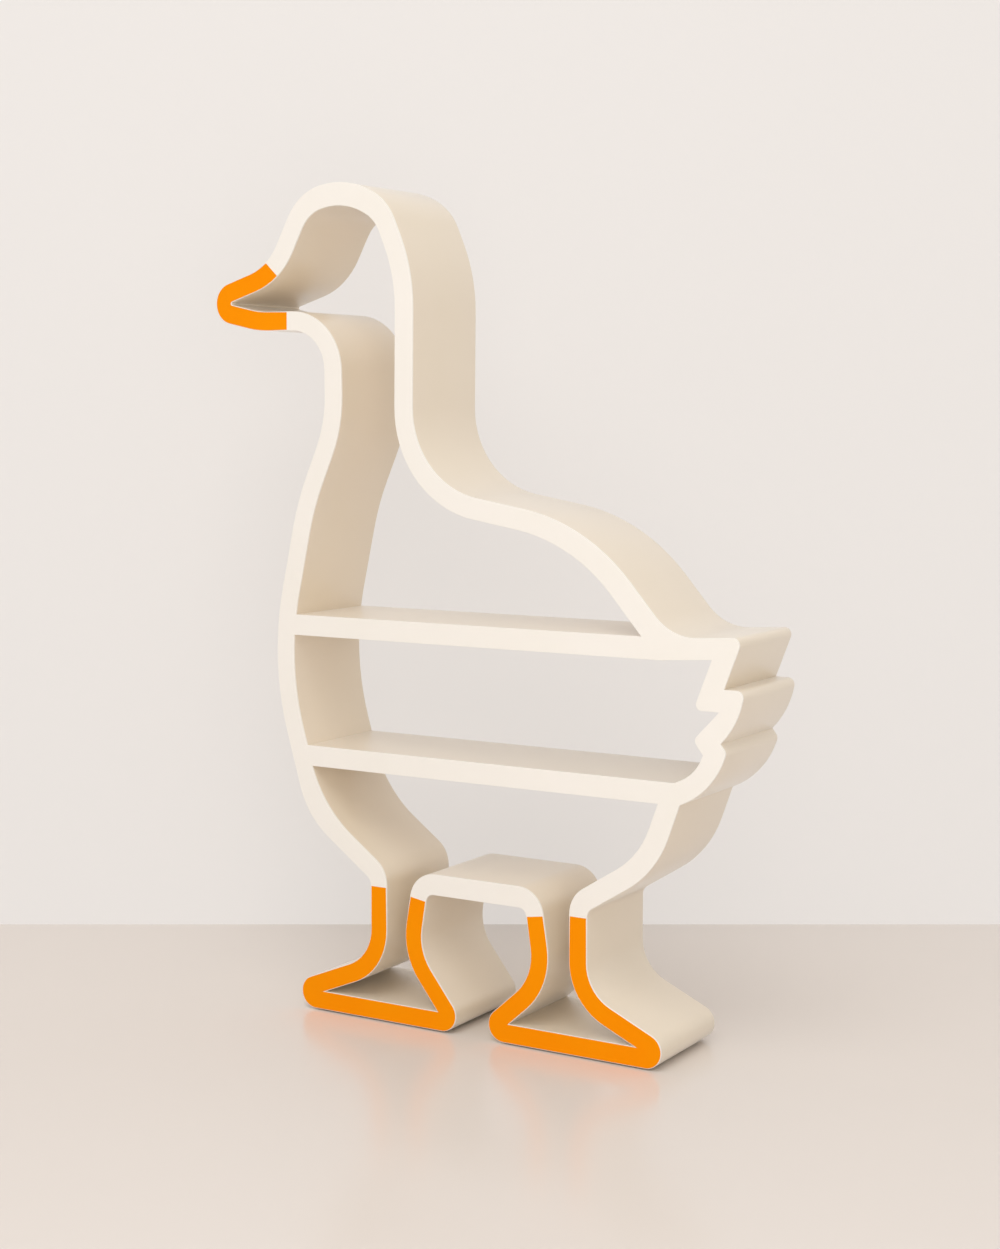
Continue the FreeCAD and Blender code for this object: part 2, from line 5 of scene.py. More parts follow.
import bmesh
import bpy
from bpy.props import FloatProperty, FloatVectorProperty, IntProperty, PointerProperty
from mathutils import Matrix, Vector


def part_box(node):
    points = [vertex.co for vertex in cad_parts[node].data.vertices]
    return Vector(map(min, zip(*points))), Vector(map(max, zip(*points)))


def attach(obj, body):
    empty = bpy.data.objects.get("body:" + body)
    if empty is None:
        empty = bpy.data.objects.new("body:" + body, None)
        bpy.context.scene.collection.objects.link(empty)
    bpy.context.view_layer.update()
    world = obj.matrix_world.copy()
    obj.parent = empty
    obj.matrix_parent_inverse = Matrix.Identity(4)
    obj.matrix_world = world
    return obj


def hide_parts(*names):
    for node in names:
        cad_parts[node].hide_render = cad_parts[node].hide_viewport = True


bl_info = {
    "name": "Goose Shelf",
    "version": (1, 0, 0),
    "blender": (4, 5, 0),
    "location": "View3D > Sidebar > Goose Shelf",
    "description": "Builds the looks of a goose-shaped open shelf round its CAD frame",
    "category": "Add Mesh",
}

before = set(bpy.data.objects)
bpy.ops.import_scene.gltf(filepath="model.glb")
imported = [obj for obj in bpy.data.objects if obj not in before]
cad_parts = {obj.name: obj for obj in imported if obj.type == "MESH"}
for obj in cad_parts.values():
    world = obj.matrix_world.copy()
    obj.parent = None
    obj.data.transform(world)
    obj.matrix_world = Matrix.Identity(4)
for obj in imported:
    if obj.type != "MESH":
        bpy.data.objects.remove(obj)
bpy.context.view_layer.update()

WALL_NODES = (
    "beak", "crown", "nape", "back", "tail", "rump", "rear_foot", "leg_bridge", "front_foot",
    "belly", "breast", "throat", "upper_shelf", "lower_shelf",
)
INLAY_NODES = ("beak_inlay", "rear_foot_inlay", "front_foot_inlay")
FRONT_Y, FACE_BACK_Y = (corner[1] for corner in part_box("front_face"))
BACK_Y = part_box("upper_shelf")[1][1]
RECESS_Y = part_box("beak_inlay")[1][1]

# Points of a CAD mesh this close are one point, and points of a swept board are joined when much closer.
SAME_PLACE = 0.00001
JOIN_DISTANCE = SAME_PLACE / 10

# Each point of a swept board keeps its distance from the nearest recess under this name.
INLAY_DISTANCE = "inlay_distance"

# An edge with fewer faces than this is open.
CLOSED_EDGE_FACES = 1.5

# The stretch of a noise over which one colour turns into the other, and how far the roughness of lacquer
# swings with it.
PATCH_SPAN = (0.35, 0.65)
ROUGHNESS_SWING = 0.03
PATCH_DETAIL = 2
RIPPLE_DETAIL = 1

# Typical values for these surfaces.
PLAIN_GLOSS = 0.5
PLYWOOD_ROUGHNESS = 0.7
GLIDE_ROUGHNESS = 0.5
BACKDROP_ROUGHNESS = 0.8

# The camera stands, looks and zooms as the photo's did.
VIEW_AZIMUTH = math.radians(31.507)
VIEW_PITCH = math.radians(5.889)
CAMERA_PLACE = (1.8669, -3.0244, 1.0653)
CAMERA_LENS = 60.11

STAGE_REACH = 9
BACKDROP_HEIGHT = 5
KEY_PLACE = (0.9, -3.2, 5.2)
FILL_PLACE = (2.2, -3, 1.1)
LAMP_TARGET = Vector((0, 0, 0.6))


def from_hex(text):
    """A hex colour as linear red, green and blue."""
    parts = [int(text[i:i + 2], 16) / 255 for i in (1, 3, 5)]
    return tuple(part / 12.92 if part <= 0.04045 else ((part + 0.055) / 1.055) ** 2.4 for part in parts)


def size_property(name, description, default):
    return FloatProperty(
        name=name, description=description, default=default, min=0, unit="LENGTH", precision=5,
    )


def power_property(name, description, default):
    return FloatProperty(name=name, description=description, default=default, min=0, unit="POWER")


def share_property(name, description, default):
    return FloatProperty(name=name, description=description, default=default, min=0, max=1, subtype="FACTOR")


def colour_property(name, description, default):
    return FloatVectorProperty(
        name=name, description=description, default=from_hex(default), min=0, max=1, subtype="COLOR",
    )


class GooseBoardSettings(bpy.types.PropertyGroup):
    """Sizes of the boards' softened edges."""

    front_arris: size_property("Front Arris", "Round of the face's front edges", 0.0005)
    back_arris: size_property("Back Arris", "Round of the wall's back edges", 0.002)
    inlay_arris: size_property("Inlay Arris", "Round of an inlay's front edge", 0.0002)
    arris_steps: IntProperty(name="Arris Steps", description="Points across a rounded edge", default=5, min=2)
    sharp_angle: FloatProperty(
        name="Sharp Angle", description="Edges that turn by more than this are shaded sharp",
        default=math.radians(35), subtype="ANGLE",
    )


class GooseFinishSettings(bpy.types.PropertyGroup):
    """Colours and surfaces of the finishes."""

    # The walls' cream, deeper and warmer than the face's off-white, is partly their own lacquer and partly
    # painted shade of the sides turned from the light.
    wall_cream_and_shade: colour_property("Wall", "Lacquer of the walls and shelves", "#EEE1CD")
    wall_cloud: colour_property("Wall Cloud", "Thicker patches of the walls' lacquer", "#EDE0CB")
    face_colour: colour_property("Face", "Lacquer of the front face", "#FAF6F0")
    face_cloud: colour_property("Face Cloud", "Thicker patches of the face's lacquer", "#F9F5EE")
    inlay_colour: colour_property("Inlay", "Orange of the beak and the feet", "#FF9800")
    inlay_cloud: colour_property("Inlay Cloud", "Thicker patches of the orange lacquer", "#FF9400")
    tongue_colour: colour_property("Tongue", "Bare plywood of the loose tongues", "#D2B48A")
    tongue_grain: colour_property("Tongue Grain", "Darker grain of the loose tongues", "#B28F60")
    glide_colour: colour_property("Glide", "Plastic of the glides", "#CDC8BF")
    orange_lap: size_property("Orange Lap", "How far the orange colour runs on past an inlay", 0.0008)
    lacquer_roughness: share_property("Lacquer Roughness", "How matt the lacquer is", 0.4)
    coat: share_property("Clear Coat", "How much of the walls' lacquer has a clear coat over it", 0.9)
    coat_roughness: share_property("Coat Roughness", "How matt the clear coat is", 0.3)
    bloom: share_property("Bloom", "Pale bloom of the walls' lacquer where it is seen at a low angle", 0.4)
    bloom_roughness: share_property("Bloom Roughness", "How wide the pale bloom spreads", 0.3)
    inlay_gloss: share_property("Inlay Gloss", "Strength of the orange lacquer's reflections", 0.04)
    cloud_size: size_property("Cloud Size", "Width of a thicker patch of lacquer", 0.12)
    peel_size: size_property("Peel Size", "Width of the lacquer's fine ripple", 0.004)
    peel_height: size_property("Peel Height", "Height of the lacquer's fine ripple", 0.00002)
    grain_width: size_property("Grain Width", "Width of a line of the plywood's grain", 0.002)
    grain_length: size_property("Grain Length", "Length of a line of the plywood's grain", 0.06)
    spark_size: size_property("Spark Size", "Width of the moulded texture of the glides", 0.0008)
    spark_height: size_property("Spark Height", "Height of the moulded texture of the glides", 0.00003)


class GooseStageSettings(bpy.types.PropertyGroup):
    """The plain room that the shelf is shown in."""

    light_colour: colour_property("Light", "Slightly warm white of every light", "#FFFCF8")
    floor_colour: colour_property("Floor", "Plain pale floor", "#E6DFDA")
    floor_roughness: share_property("Floor Roughness", "How matt the floor is", 0.22)
    backdrop_colour: colour_property("Backdrop", "Plain pale wall", "#EFEBE8")
    backdrop_glow: share_property("Backdrop Glow", "How much of the wall's colour no shadow reaches", 0.55)
    backdrop_distance: size_property("Backdrop Distance", "Wall behind the shelf's middle", 0.696)
    room_light: FloatProperty(
        name="Room Light", description="Strength of the light all round", default=0.69, min=0,
    )
    key_power: power_property("Key Light", "Power of the large soft light high in front", 104)
    key_size: size_property("Key Size", "Width of the large soft light high in front", 4)
    fill_power: power_property("Fill Light", "Power of the soft light beside the camera", 22)
    fill_size: size_property("Fill Size", "Width of the soft light beside the camera", 2)


def add_node(tree, kind, inputs=None, **settings):
    """A node with its settings, and its inputs linked or set."""
    node = tree.nodes.new(kind)
    for name, value in settings.items():
        setattr(node, name, value)
    for key, value in (inputs or {}).items():
        if isinstance(value, bpy.types.NodeSocket):
            tree.links.new(value, node.inputs[key])
        else:
            node.inputs[key].default_value = value
    return node


# Finishes


def plain_material(name, colour, roughness):
    """An even surface, and the tree and shader to build on."""
    material = bpy.data.materials.new(name)
    material.use_nodes = True
    tree = material.node_tree
    shader = tree.nodes["Principled BSDF"]
    shader.inputs["Base Color"].default_value = (*colour, 1)
    shader.inputs["Roughness"].default_value = roughness
    return material, tree, shader


def add_ripple(tree, shader, width, height):
    """A fine uneven surface of a real width and height."""
    place = add_node(tree, "ShaderNodeTexCoord").outputs["Object"]
    ripple = add_node(tree, "ShaderNodeTexNoise", {
        "Vector": place, "Scale": 1 / width, "Detail": RIPPLE_DETAIL,
    })
    bump = add_node(tree, "ShaderNodeBump", {"Height": ripple.outputs["Fac"], "Distance": height})
    tree.links.new(bump.outputs["Normal"], shader.inputs["Normal"])


def add_patches(tree, shader, widths, first, second):
    """A soft change from one colour to another across a noise with real widths along x, y and z."""
    place = add_node(tree, "ShaderNodeTexCoord").outputs["Object"]
    steps = add_node(tree, "ShaderNodeMapping", {
        "Vector": place, "Scale": [1 / width for width in widths],
    })
    patches = add_node(tree, "ShaderNodeTexNoise", {
        "Vector": steps.outputs["Vector"], "Scale": 1, "Detail": PATCH_DETAIL,
    })
    colours = add_node(tree, "ShaderNodeValToRGB", {"Fac": patches.outputs["Fac"]})
    low, high = colours.color_ramp.elements
    low.position, high.position = PATCH_SPAN
    low.color = (*first, 1)
    high.color = (*second, 1)
    tree.links.new(colours.outputs["Color"], shader.inputs["Base Color"])
    return patches.outputs["Fac"]


def lacquer_material(name, colour, cloud, finish, gloss=PLAIN_GLOSS, coat=0, bloom=0):
    """Satin lacquer sprayed on fibreboard."""
    # It looks smooth and even. Soft thicker patches shine a little more, and a fine ripple breaks up
    # reflections.
    material, tree, shader = plain_material(name, colour, finish.lacquer_roughness)
    shader.inputs["Specular IOR Level"].default_value = gloss
    shader.inputs["Coat Weight"].default_value = coat
    shader.inputs["Coat Roughness"].default_value = finish.coat_roughness
    shader.inputs["Sheen Weight"].default_value = bloom
    shader.inputs["Sheen Roughness"].default_value = finish.bloom_roughness
    thickness = add_patches(tree, shader, [finish.cloud_size] * 3, colour, cloud)
    roughness = add_node(tree, "ShaderNodeMapRange", {
        "Value": thickness,
        "To Min": finish.lacquer_roughness + ROUGHNESS_SWING,
        "To Max": finish.lacquer_roughness - ROUGHNESS_SWING,
    })
    tree.links.new(roughness.outputs["Result"], shader.inputs["Roughness"])
    add_ripple(tree, shader, finish.peel_size, finish.peel_height)
    return material


def lap_orange(material, finish):
    """Run the inlays' orange on over the face beside them, as paint does that was sprayed past an edge."""
    tree = material.node_tree
    base = tree.nodes["Principled BSDF"].inputs["Base Color"]
    distance = add_node(tree, "ShaderNodeAttribute", attribute_name=INLAY_DISTANCE).outputs["Fac"]
    near = add_node(tree, "ShaderNodeMath", {0: distance, 1: finish.orange_lap}, operation="LESS_THAN")
    # A mix of colours takes them at its sockets 6 and 7, and gives the result at 2.
    colour = add_node(tree, "ShaderNodeMix", {
        0: near.outputs[0], 6: base.links[0].from_socket, 7: (*finish.inlay_colour, 1),
    }, data_type="RGBA")
    tree.links.new(colour.outputs[2], base)


def plywood_material(finish):
    """Bare birch plywood, sawn and left unfinished."""
    # It looks pale and dull, with a straight grain from front to back, drawn coarser than life to show.
    material, tree, shader = plain_material("birch_plywood", finish.tongue_colour, PLYWOOD_ROUGHNESS)
    widths = (finish.grain_width, finish.grain_length, finish.grain_width)
    add_patches(tree, shader, widths, finish.tongue_colour, finish.tongue_grain)
    return material


def glide_material(finish):
    """Polypropylene, moulded with a fine spark texture."""
    # It looks waxy and pale, and the texture takes the shine off. It is drawn coarser than life to show.
    material, tree, shader = plain_material("moulded_polypropylene", finish.glide_colour, GLIDE_ROUGHNESS)
    add_ripple(tree, shader, finish.spark_size, finish.spark_height)
    return material


# Outlines, read from the CAD frame


def merged_copy(node):
    """A CAD node's mesh with its loose triangles joined up."""
    solid = bmesh.new()
    solid.from_mesh(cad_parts[node].data)
    bmesh.ops.remove_doubles(solid, verts=solid.verts, dist=SAME_PLACE)
    return solid


def plane_loops(node, y):
    """The outlines of a CAD node's flat side at a depth, each a list of x and z in order."""
    solid = merged_copy(node)
    flat = {face for face in solid.faces if all(abs(vert.co.y - y) < SAME_PLACE for vert in face.verts)}
    after = {}
    for face in flat:
        for side in face.loops:
            if side.link_loop_radial_next.face not in flat:
                after[side.vert] = side.link_loop_next.vert
    loops = []
    while after:
        first, here = after.popitem()
        points = [first]
        while here is not first:
            points.append(here)
            here = after.pop(here)
        loops.append([(vert.co.x, vert.co.z) for vert in points])
    solid.free()
    if not loops:
        raise RuntimeError("%s has no flat side at %.4f m" % (node, y))
    return loops


def signed_area(points):
    return sum(
        before[0] * here[1] - here[0] * before[1] for before, here in zip(points[-1:] + points, points)
    ) / 2


def facing_front(loops):
    """The same outlines, run so that the solid lies on their left as seen from the front."""
    largest = max(loops, key=lambda points: abs(signed_area(points)))
    if signed_area(largest) > 0:
        return loops
    return [points[::-1] for points in loops]


def add_path(name, loops):
    """An object that holds outlines for the node tree, as a flat curve with a closed spline for each."""
    curve = bpy.data.curves.new(name, "CURVE")
    curve.dimensions = "3D"
    for points in loops:
        spline = curve.splines.new("POLY")
        spline.points.add(len(points) - 1)
        for place, (x, z) in zip(spline.points, points):
            place.co = (x, z, 0, 1)
        spline.use_cyclic_u = True
    path = bpy.data.objects.new(name, curve)
    bpy.context.scene.collection.objects.link(path)
    return path


# The node tree that makes a board lying on its face, its front at level 0 and its back below


def add_inputs(tree):
    """The tree's named inputs."""
    kinds = {
        "Outlines": "NodeSocketGeometry", "Recesses": "NodeSocketObject", "Front": "NodeSocketFloat",
        "Depth": "NodeSocketFloat", "Recess Depth": "NodeSocketFloat", "Front Arris": "NodeSocketFloat",
        "Back Arris": "NodeSocketFloat", "Arris Steps": "NodeSocketInt", "Sharp Angle": "NodeSocketFloat",
        "Material": "NodeSocketMaterial",
    }
    for name, kind in kinds.items():
        tree.interface.new_socket(name, in_out="INPUT", socket_type=kind)
    return add_node(tree, "NodeGroupInput").outputs


def add_arris(tree, radius, steps, start, centre_y):
    """A quarter circle of the board's section, whose middle lies one radius inside the outline."""
    arc = add_node(tree, "GeometryNodeCurveArc", {
        "Resolution": steps, "Radius": radius, "Start Angle": start, "Sweep Angle": math.pi / 2,
    })
    inside = add_node(tree, "ShaderNodeMath", {0: radius, 1: -1}, operation="MULTIPLY")
    centre = add_node(tree, "ShaderNodeCombineXYZ", {"X": inside.outputs[0], "Y": centre_y})
    return add_node(tree, "GeometryNodeTransform", {
        "Geometry": arc.outputs["Curve"], "Translation": centre.outputs[0],
    }).outputs[0]


def add_section(tree, given):
    """A board's section, from the round of its front edge to the round of its back edge."""
    front = given["Front Arris"]
    back = given["Back Arris"]
    steps = given["Arris Steps"]
    back_start = add_node(
        tree, "ShaderNodeMath", {0: given["Depth"], 1: back}, operation="SUBTRACT",
    ).outputs[0]
    straight = add_node(tree, "GeometryNodeCurvePrimitiveLine", {
        "Start": add_node(tree, "ShaderNodeCombineXYZ", {"Y": front}).outputs[0],
        "End": add_node(tree, "ShaderNodeCombineXYZ", {"Y": back_start}).outputs[0],
    })
    section = add_node(tree, "GeometryNodeJoinGeometry")
    for curve in (
        add_arris(tree, front, steps, -math.pi / 2, front),
        straight.outputs[0],
        add_arris(tree, back, steps, 0, back_start),
    ):
        tree.links.new(curve, section.inputs[0])
    return section.outputs[0]


def add_sides(tree, given, recesses):
    """The board's section swept along its outlines, and a square step swept along its recesses."""
    depth = add_node(tree, "ShaderNodeCombineXYZ", {"Y": given["Recess Depth"]}).outputs[0]
    step = add_node(tree, "GeometryNodeCurvePrimitiveLine", {"End": depth}).outputs[0]
    swept = add_node(tree, "GeometryNodeJoinGeometry")
    for outlines, section in ((given["Outlines"], add_section(tree, given)), (recesses, step)):
        upright = add_node(tree, "GeometryNodeSetCurveNormal", {"Curve": outlines}, mode="Z_UP")
        sides = add_node(tree, "GeometryNodeCurveToMesh", {
            "Curve": upright.outputs[0], "Profile Curve": section,
        })
        tree.links.new(sides.outputs[0], swept.inputs[0])
    return add_node(tree, "GeometryNodeMergeByDistance", {
        "Geometry": swept.outputs[0], "Distance": JOIN_DISTANCE,
    }).outputs[0]


def add_sharp_edges(tree, sides, sharp_angle):
    """The swept sides, shaded smooth except at edges that turn sharply."""
    angle = add_node(tree, "GeometryNodeInputMeshEdgeAngle").outputs["Unsigned Angle"]
    sharp = add_node(tree, "FunctionNodeCompare", {0: angle, 1: sharp_angle}, operation="GREATER_THAN")
    return add_node(tree, "GeometryNodeSetShadeSmooth", {
        "Geometry": sides, "Selection": sharp.outputs[0], "Shade Smooth": False,
    }, domain="EDGE").outputs[0]


def add_rims(tree, depth):
    """Which edges are open at the front, at the back and at the floors of the recesses."""
    position = add_node(tree, "GeometryNodeInputPosition").outputs[0]
    level = add_node(tree, "ShaderNodeSeparateXYZ", {0: position}).outputs["Z"]
    neighbours = add_node(tree, "GeometryNodeInputMeshEdgeNeighbors").outputs[0]
    lowest = add_node(tree, "ShaderNodeMath", {0: SAME_PLACE, 1: depth}, operation="SUBTRACT").outputs[0]
    is_open = add_node(tree, "ShaderNodeMath", {
        0: neighbours, 1: CLOSED_EDGE_FACES,
    }, operation="LESS_THAN").outputs[0]
    at_front = add_node(tree, "ShaderNodeMath", {0: level, 1: -SAME_PLACE}, operation="GREATER_THAN")
    at_back = add_node(tree, "ShaderNodeMath", {0: level, 1: lowest}, operation="LESS_THAN")
    rims = []
    rest = is_open
    for place in (at_front, at_back):
        rim = add_node(tree, "ShaderNodeMath", {0: is_open, 1: place.outputs[0]}, operation="MULTIPLY")
        rims.append(rim.outputs[0])
        rest = add_node(tree, "ShaderNodeMath", {0: rest, 1: rim.outputs[0]}, operation="SUBTRACT").outputs[0]
    return (*rims, rest)


def add_cap(tree, sides, rim, level, flip):
    """A flat filling inside one open rim of the swept sides."""
    edge = add_node(tree, "GeometryNodeMeshToCurve", {"Mesh": sides, "Selection": rim})
    fill = add_node(tree, "GeometryNodeFillCurve", {"Curve": edge.outputs[0]}, mode="TRIANGLES")
    cap = fill.outputs[0]
    if flip:
        cap = add_node(tree, "GeometryNodeFlipFaces", {"Mesh": cap}).outputs[0]
    place = add_node(tree, "ShaderNodeCombineXYZ", {"Z": level}).outputs[0]
    cap = add_node(tree, "GeometryNodeTransform", {"Geometry": cap, "Translation": place}).outputs[0]
    return add_node(tree, "GeometryNodeSetShadeSmooth", {"Geometry": cap, "Shade Smooth": False}).outputs[0]


def add_distance(tree, board, recesses):
    """The board, whose points keep their distance from the nearest recess."""
    edges = add_node(tree, "GeometryNodeCurveToMesh", {"Curve": recesses}).outputs[0]
    nearest = add_node(tree, "GeometryNodeProximity", {0: edges}, target_element="EDGES")
    return add_node(tree, "GeometryNodeStoreNamedAttribute", {
        "Geometry": board, "Name": INLAY_DISTANCE, "Value": nearest.outputs["Distance"],
    }, data_type="FLOAT", domain="POINT").outputs[0]


def board_tree():
    """Geometry nodes that sweep a board's section along its outlines, with square recesses in its front."""
    tree = bpy.data.node_groups.new("swept_board", "GeometryNodeTree")
    tree.interface.new_socket("Geometry", in_out="OUTPUT", socket_type="NodeSocketGeometry")
    given = add_inputs(tree)
    recesses = add_node(tree, "GeometryNodeObjectInfo", {"Object": given["Recesses"]}).outputs["Geometry"]
    sides = add_sides(tree, given, recesses)
    front_rim, back_rim, floor_rim = add_rims(tree, given["Depth"])
    back_level, floor_level = (
        add_node(tree, "ShaderNodeMath", {0: given[name], 1: -1}, operation="MULTIPLY").outputs[0]
        for name in ("Depth", "Recess Depth")
    )
    closed = add_node(tree, "GeometryNodeJoinGeometry")
    for piece in (
        add_sharp_edges(tree, sides, given["Sharp Angle"]),
        add_cap(tree, sides, front_rim, 0, False),
        add_cap(tree, sides, back_rim, back_level, True),
        add_cap(tree, sides, floor_rim, floor_level, False),
    ):
        tree.links.new(piece, closed.inputs[0])
    whole = add_node(tree, "GeometryNodeMergeByDistance", {
        "Geometry": closed.outputs[0], "Distance": JOIN_DISTANCE,
    })
    upended = add_node(tree, "GeometryNodeTransform", {
        "Geometry": add_distance(tree, whole.outputs[0], recesses),
        "Translation": add_node(tree, "ShaderNodeCombineXYZ", {"Y": given["Front"]}).outputs[0],
        "Rotation": (math.pi / 2, 0, 0),
    })
    real = add_node(tree, "GeometryNodeRealizeInstances", {"Geometry": upended.outputs[0]})
    coloured = add_node(tree, "GeometryNodeSetMaterial", {
        "Geometry": real.outputs[0], "Material": given["Material"],
    })
    add_node(tree, "NodeGroupOutput", {0: coloured.outputs[0]})
    return tree


def sweep_board(name, loops, front, back, front_arris, back_arris, material, recesses=(), recess_depth=0):
    """A plain mesh of a board that follows the outlines from one depth to another, with its recesses."""
    boards = bpy.context.scene.goose_boards
    path = add_path(name + "_path", facing_front(loops))
    recess_path = add_path(name + "_recesses", recesses)
    tree = bpy.data.node_groups.get("swept_board") or board_tree()
    modifier = path.modifiers.new("swept_board", "NODES")
    modifier.node_group = tree
    values = {
        "Front": front, "Depth": back - front, "Front Arris": front_arris, "Back Arris": back_arris,
        "Arris Steps": boards.arris_steps, "Sharp Angle": boards.sharp_angle, "Material": material,
        "Recesses": recess_path, "Recess Depth": recess_depth,
    }
    for socket in tree.interface.items_tree:
        if socket.name in values:
            modifier[socket.identifier] = values[socket.name]
    graph = bpy.context.evaluated_depsgraph_get()
    mesh = bpy.data.meshes.new_from_object(path.evaluated_get(graph), depsgraph=graph)
    for guide in (path, recess_path):
        curve = guide.data
        bpy.data.objects.remove(guide)
        bpy.data.curves.remove(curve)
    if not mesh.polygons:
        raise RuntimeError("%s came out empty" % name)
    mesh.name = name
    return mesh


# Pieces


def add_piece(name, mesh, nodes):
    """A piece of the object that stands for CAD nodes."""
    piece = bpy.data.objects.new(name, mesh)
    bpy.context.scene.collection.objects.link(piece)
    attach(piece, "root")
    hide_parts(*nodes)


class GOOSE_OT_add_wall(bpy.types.Operator):
    """Add the lacquered wall and shelves behind the face"""

    bl_idname = "goose.add_wall"
    bl_label = "Add Wall"

    def execute(self, context):
        boards = context.scene.goose_boards
        finish = context.scene.goose_finish
        # A clear coat and a pale bloom lighten the cream where it is seen at a low angle, as on the shelves.
        # The cream is partly the walls' own lacquer and partly painted shade, deeper and warmer than the
        # face's off-white.
        material = lacquer_material(
            "cream_lacquer_and_shade", finish.wall_cream_and_shade, finish.wall_cloud, finish,
            coat=finish.coat, bloom=finish.bloom,
        )
        loops = plane_loops("front_face", FACE_BACK_Y)
        mesh = sweep_board("wall", loops, FACE_BACK_Y, BACK_Y, 0, boards.back_arris, material)
        add_piece("wall", mesh, WALL_NODES)
        return {"FINISHED"}


class GOOSE_OT_add_face(bpy.types.Operator):
    """Add the face sheet with its recesses for the inlays"""

    bl_idname = "goose.add_face"
    bl_label = "Add Face"

    def execute(self, context):
        boards = context.scene.goose_boards
        finish = context.scene.goose_finish
        # With no clear coat, the off-white stays an even, bright line round the shape.
        material = lacquer_material("off_white_lacquer", finish.face_colour, finish.face_cloud, finish)
        lap_orange(material, finish)
        outlines = plane_loops("front_face", FACE_BACK_Y)
        floors = facing_front(plane_loops("front_face", RECESS_Y))
        recesses = [points[::-1] for points in floors]
        mesh = sweep_board(
            "face", outlines, FRONT_Y, FACE_BACK_Y, boards.front_arris, 0, material,
            recesses, RECESS_Y - FRONT_Y,
        )
        add_piece("face", mesh, ("front_face",))
        return {"FINISHED"}


class GOOSE_OT_add_inlays(bpy.types.Operator):
    """Add the orange inlays of the beak and the feet"""

    bl_idname = "goose.add_inlays"
    bl_label = "Add Inlays"

    def execute(self, context):
        boards = context.scene.goose_boards
        finish = context.scene.goose_finish
        # With hardly any shine, the orange keeps its full colour from every side.
        material = lacquer_material(
            "orange_lacquer", finish.inlay_colour, finish.inlay_cloud, finish, gloss=finish.inlay_gloss,
        )
        for node in INLAY_NODES:
            loops = plane_loops(node, FRONT_Y)
            mesh = sweep_board(node, loops, FRONT_Y, RECESS_Y, boards.inlay_arris, 0, material)
            add_piece(node + "_look", mesh, (node,))
        return {"FINISHED"}


class GOOSE_OT_add_fixings(bpy.types.Operator):
    """Add the loose tongues and the glides"""

    bl_idname = "goose.add_fixings"
    bl_label = "Add Fixings"

    def execute(self, context):
        finish = context.scene.goose_finish
        kinds = (
            ("loose_tongues", "bare_wood", plywood_material(finish)),
            ("glides", "glide_plastic", glide_material(finish)),
        )
        for node, slot, material in kinds:
            solid = merged_copy(node)
            for face in solid.faces:
                face.smooth = True
            for edge in solid.edges:
                edge.smooth = edge.calc_face_angle(math.pi) < context.scene.goose_boards.sharp_angle
            mesh = bpy.data.meshes.new(node)
            solid.to_mesh(mesh)
            solid.free()
            mesh.materials.append(material)
            add_piece(node + "_look", mesh, (node,))
        return {"FINISHED"}


# Stage


def flat_plane(name, corners, material):
    """A stage plane from its four corners."""
    mesh = bpy.data.meshes.new(name)
    mesh.from_pydata(corners, [], [(0, 1, 2, 3)])
    mesh.materials.append(material)
    plane = bpy.data.objects.new(name, mesh)
    bpy.context.scene.collection.objects.link(plane)


def floor_material(stage):
    """Pale stone, polished smooth."""
    # It looks even, and what stands on it is mirrored softly.
    return plain_material("polished_stone", stage.floor_colour, stage.floor_roughness)[0]


def backdrop_material(stage):
    """Matt wall paint, rolled on plaster."""
    # It looks pale and even. It keeps part of its colour in the shelf's shadow, and is clear from behind.
    material, tree, shader = plain_material("matt_wall_paint", stage.backdrop_colour, BACKDROP_ROUGHNESS)
    ray = add_node(tree, "ShaderNodeLightPath").outputs
    seen = add_node(tree, "ShaderNodeMath", {
        0: ray["Is Camera Ray"], 1: ray["Is Glossy Ray"],
    }, operation="MAXIMUM")
    share = add_node(tree, "ShaderNodeMath", {
        0: seen.outputs[0], 1: stage.backdrop_glow,
    }, operation="MULTIPLY")
    glow = add_node(tree, "ShaderNodeEmission", {"Color": (*stage.backdrop_colour, 1)})
    lit = add_node(tree, "ShaderNodeMixShader", {
        0: share.outputs[0], 1: shader.outputs[0], 2: glow.outputs[0],
    })
    side = add_node(tree, "ShaderNodeNewGeometry")
    clear = add_node(tree, "ShaderNodeBsdfTransparent")
    mixed = add_node(tree, "ShaderNodeMixShader", {
        0: side.outputs["Backfacing"], 1: lit.outputs[0], 2: clear.outputs[0],
    })
    tree.links.new(mixed.outputs[0], tree.nodes["Material Output"].inputs["Surface"])
    return material


def add_planes(stage, along):
    """The floor, and the backdrop square to the direction of view."""
    reach = STAGE_REACH
    corners = [(-reach, -reach, 0), (reach, -reach, 0), (reach, reach, 0), (-reach, reach, 0)]
    flat_plane("floor", corners, floor_material(stage))
    middle = along * stage.backdrop_distance
    across = Vector((along.y, -along.x, 0)) * reach
    left = middle - across
    right = middle + across
    rise = Vector((0, 0, BACKDROP_HEIGHT))
    flat_plane("backdrop", [left, right, right + rise, left + rise], backdrop_material(stage))


def add_room_light(scene, stage):
    """Even light from all round."""
    world = bpy.data.worlds.new("room")
    world.use_nodes = True
    light = world.node_tree.nodes["Background"].inputs
    light["Color"].default_value = (*stage.light_colour, 1)
    light["Strength"].default_value = stage.room_light
    scene.world = world


def add_lamp(name, place, power, width, colour):
    """A soft light turned towards the shelf."""
    data = bpy.data.lights.new(name, "AREA")
    data.energy = power
    data.size = width
    data.color = colour
    lamp = bpy.data.objects.new(name, data)
    bpy.context.scene.collection.objects.link(lamp)
    lamp.location = place
    lamp.rotation_euler = (LAMP_TARGET - lamp.location).to_track_quat("-Z", "Y").to_euler()


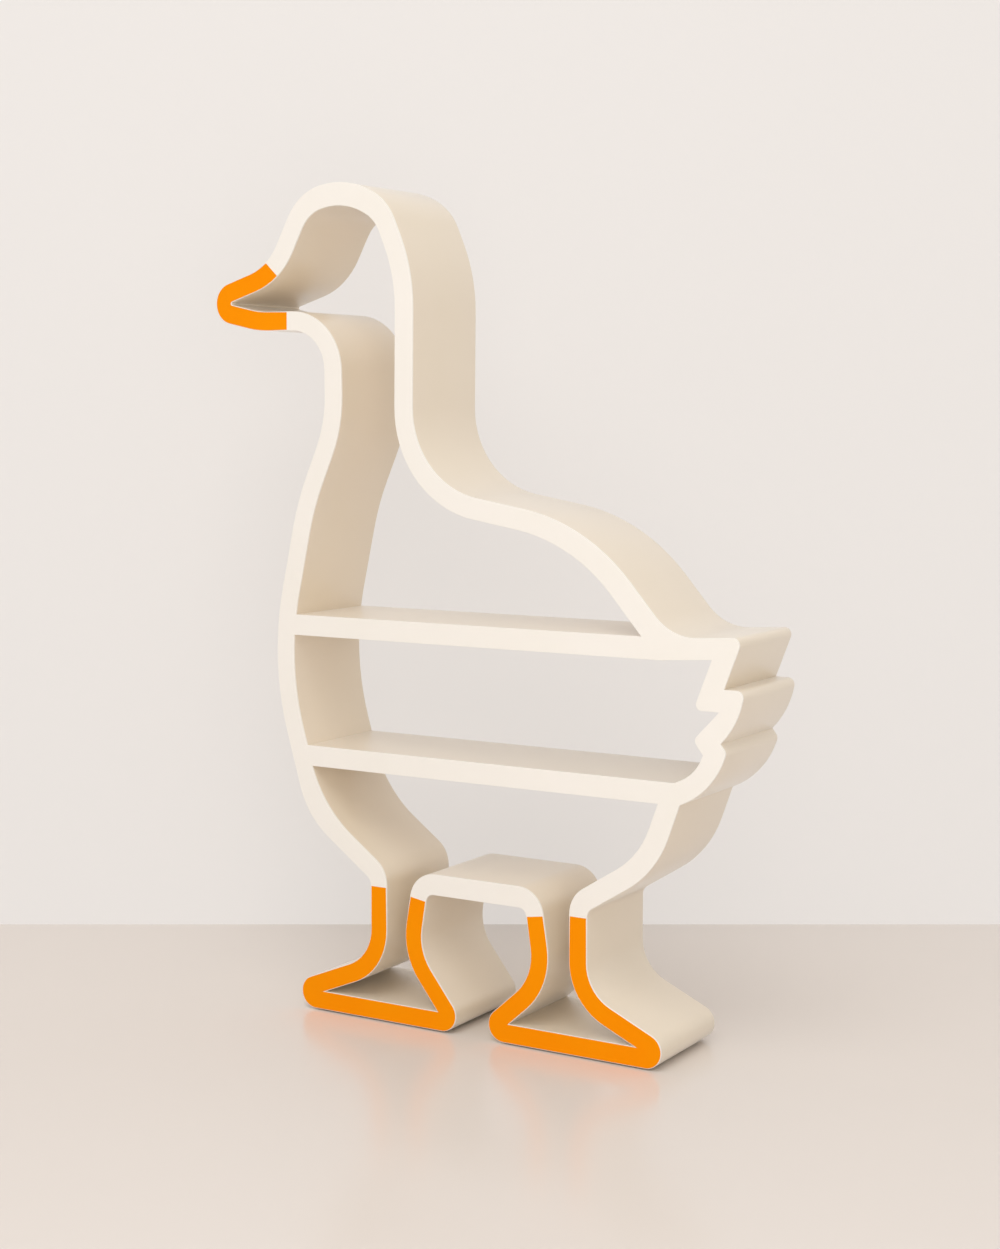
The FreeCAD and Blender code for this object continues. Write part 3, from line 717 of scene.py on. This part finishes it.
def add_camera(scene, along):
    """A camera that looks along a level direction, pitched down."""
    camera = bpy.data.objects.new("camera", bpy.data.cameras.new("camera"))
    scene.collection.objects.link(camera)
    camera.data.lens = CAMERA_LENS
    camera.location = CAMERA_PLACE
    ahead = along * math.cos(VIEW_PITCH) - Vector((0, 0, math.sin(VIEW_PITCH)))
    camera.rotation_euler = ahead.to_track_quat("-Z", "Y").to_euler()
    scene.camera = camera


class GOOSE_OT_add_stage(bpy.types.Operator):
    """Add the floor, the backdrop, the light and the camera"""

    bl_idname = "goose.add_stage"
    bl_label = "Add Stage"

    def execute(self, context):
        scene = context.scene
        stage = scene.goose_stage
        along = Vector((-math.sin(VIEW_AZIMUTH), math.cos(VIEW_AZIMUTH), 0))
        add_planes(stage, along)
        add_room_light(scene, stage)
        add_lamp("key", KEY_PLACE, stage.key_power, stage.key_size, stage.light_colour)
        add_lamp("fill", FILL_PLACE, stage.fill_power, stage.fill_size, stage.light_colour)
        add_camera(scene, along)
        scene.view_settings.view_transform = "Standard"
        return {"FINISHED"}


class GOOSE_PT_panel(bpy.types.Panel):
    """The shelf's settings and operators"""

    bl_label = "Goose Shelf"
    bl_idname = "GOOSE_PT_panel"
    bl_space_type = "VIEW_3D"
    bl_region_type = "UI"
    bl_category = "Goose Shelf"

    def draw(self, context):
        for group in (context.scene.goose_boards, context.scene.goose_finish, context.scene.goose_stage):
            box = self.layout.box()
            for name in group.bl_rna.properties.keys():
                if name not in ("rna_type", "name"):
                    box.prop(group, name)
        for operator in OPERATORS:
            self.layout.operator(operator.bl_idname)


OPERATORS = (
    GOOSE_OT_add_wall, GOOSE_OT_add_face, GOOSE_OT_add_inlays, GOOSE_OT_add_fixings, GOOSE_OT_add_stage,
)
CLASSES = (GooseBoardSettings, GooseFinishSettings, GooseStageSettings, *OPERATORS, GOOSE_PT_panel)


def register():
    for item in CLASSES:
        bpy.utils.register_class(item)
    bpy.types.Scene.goose_boards = PointerProperty(type=GooseBoardSettings)
    bpy.types.Scene.goose_finish = PointerProperty(type=GooseFinishSettings)
    bpy.types.Scene.goose_stage = PointerProperty(type=GooseStageSettings)


def unregister():
    del bpy.types.Scene.goose_stage
    del bpy.types.Scene.goose_finish
    del bpy.types.Scene.goose_boards
    for item in reversed(CLASSES):
        bpy.utils.unregister_class(item)


def main():
    register()
    bpy.ops.goose.add_wall()
    bpy.ops.goose.add_face()
    bpy.ops.goose.add_inlays()
    bpy.ops.goose.add_fixings()
    bpy.ops.goose.add_stage()


if __name__ == "__main__":
    main()
